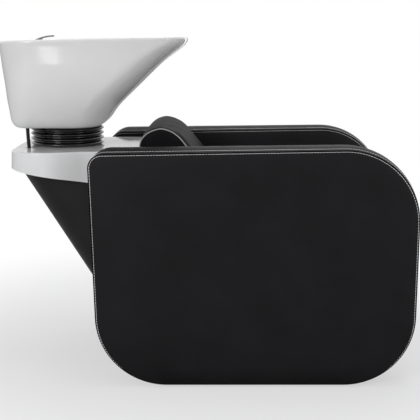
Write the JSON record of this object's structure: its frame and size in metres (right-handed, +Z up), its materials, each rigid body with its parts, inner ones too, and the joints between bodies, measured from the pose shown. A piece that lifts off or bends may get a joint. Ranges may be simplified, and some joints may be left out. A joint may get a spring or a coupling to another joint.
{
  "type": "salon backwash unit",
  "caption": "Client seat between upholstered side panels, with a tilting ceramic hair-washing basin, tap and spray handset on a leaning plinth behind it.",
  "frame": {"origin": "on the floor, at the middle of the overall length and width", "axes": "+X towards the client's feet, +Y to the client's left, +Z up"},
  "size_m": [1.194, 0.684, 0.985],
  "materials": {
    "right_panel_upholstery": "matte grained",
    "right_panel_core": "raw plywood",
    "right_glides": "matte",
    "right_post": "satin black",
    "left_panel_upholstery": "matte grained",
    "left_panel_core": "raw plywood",
    "left_glides": "matte",
    "left_post": "satin black",
    "rear_cross_tube": "satin black",
    "middle_cross_tube": "satin black",
    "front_cross_tube": "satin black",
    "frame_bolts": "zinc plated",
    "seat_board": "raw plywood",
    "back_board": "raw plywood",
    "seat_cushion": "matte grained vinyl over foam",
    "back_cushion": "matte grained vinyl over foam",
    "front_apron": "matte grained",
    "floor_plate": "satin black",
    "head_plate": "satin black",
    "shroud": "matte black moulded",
    "collar": "gloss white moulded",
    "hose_grommet": "matte",
    "bellows": "satin black",
    "tilt_bracket": "satin black",
    "bracket_bolts": "zinc plated",
    "pivot_bolts": "zinc plated",
    "pivot_nuts": "zinc plated",
    "friction_washers": "fibre",
    "service_bracket": "galvanised",
    "waste_outlet": "grey",
    "hot_inlet": "plain",
    "cold_inlet": "plain",
    "hot_hose": "steel braided",
    "cold_hose": "steel braided",
    "waste_hose": "grey ribbed",
    "spray_hose": "dark braided",
    "basin": "white glaze",
    "basin_gasket": "matte",
    "tilt_cradle": "satin black",
    "cradle_bolts": "zinc plated",
    "waste_flange": "polished",
    "waste_nut": "plain",
    "mixer_ring": "polished",
    "mixer_body": "polished",
    "mixer_nut": "plain",
    "spray_bush": "polished",
    "bush_nut": "moulded",
    "mixer_turret": "polished",
    "mixer_lever": "polished",
    "spray_handle": "gloss black",
    "spray_face": "grey",
    "hose_nut": "polished",
    "spray_hose_upper": "dark braided",
    "strainer": "polished"
  },
  "bodies": {
    "frame": {"right_panel_upholstery": "right_panel_upholstery", "right_panel_core": "right_panel_core", "right_glides": "right_glides", "right_post": "right_post", "left_panel_upholstery": "left_panel_upholstery", "left_panel_core": "left_panel_core", "left_glides": "left_glides", "left_post": "left_post", "rear_cross_tube": "rear_cross_tube", "middle_cross_tube": "middle_cross_tube", "front_cross_tube": "front_cross_tube", "frame_bolts": "frame_bolts", "seat_board": "seat_board", "back_board": "back_board", "seat_cushion": "seat_cushion", "back_cushion": "back_cushion", "front_apron": "front_apron", "floor_plate": "floor_plate", "head_plate": "head_plate", "shroud": "shroud", "collar": "collar", "hose_grommet": "hose_grommet", "bellows": "bellows", "tilt_bracket": "tilt_bracket", "bracket_bolts": "bracket_bolts", "pivot_bolts": "pivot_bolts", "pivot_nuts": "pivot_nuts", "friction_washers": "friction_washers", "service_bracket": "service_bracket", "waste_outlet": "waste_outlet", "hot_inlet": "hot_inlet", "cold_inlet": "cold_inlet", "hot_hose": "hot_hose", "cold_hose": "cold_hose", "waste_hose": "waste_hose", "spray_hose": "spray_hose"},
    "basin": {"basin": "basin", "basin_gasket": "basin_gasket", "tilt_cradle": "tilt_cradle", "cradle_bolts": "cradle_bolts", "waste_flange": "waste_flange", "waste_nut": "waste_nut", "mixer_ring": "mixer_ring", "mixer_body": "mixer_body", "mixer_nut": "mixer_nut", "spray_bush": "spray_bush", "bush_nut": "bush_nut"},
    "turret": {"mixer_turret": "mixer_turret"},
    "lever": {"mixer_lever": "mixer_lever"},
    "handset": {"spray_handle": "spray_handle", "spray_face": "spray_face", "hose_nut": "hose_nut", "spray_hose_upper": "spray_hose_upper"},
    "strainer": {"strainer": "strainer"}
  },
  "joints": [
    {"name": "basin_tilt", "type": "hinge", "parent": "frame", "child": "basin", "pos_m": [-0.4265, 0, 0.684], "axis": [0, 1, 0], "range_deg": [-10, 15], "deforming": ["bellows", "spray_hose", "hot_hose", "cold_hose", "waste_hose"]},
    {"name": "mixer_turn", "type": "hinge", "parent": "basin", "child": "turret", "pos_m": [-0.501, 0, 0.952], "axis": [0, 0, 1], "range_deg": [-45, 45]},
    {"name": "mixer_lift", "type": "hinge", "parent": "turret", "child": "lever", "pos_m": [-0.501, 0, 0.952], "axis": [0, -1, 0], "range_deg": [0, 20]},
    {"name": "spray_lift", "type": "slide", "parent": "basin", "child": "handset", "axis": [0, 0, 1], "range_m": [0, 0.12]},
    {"name": "strainer_lift", "type": "slide", "parent": "basin", "child": "strainer", "axis": [0, 0, 1], "range_m": [0, 0.04]}
  ]
}
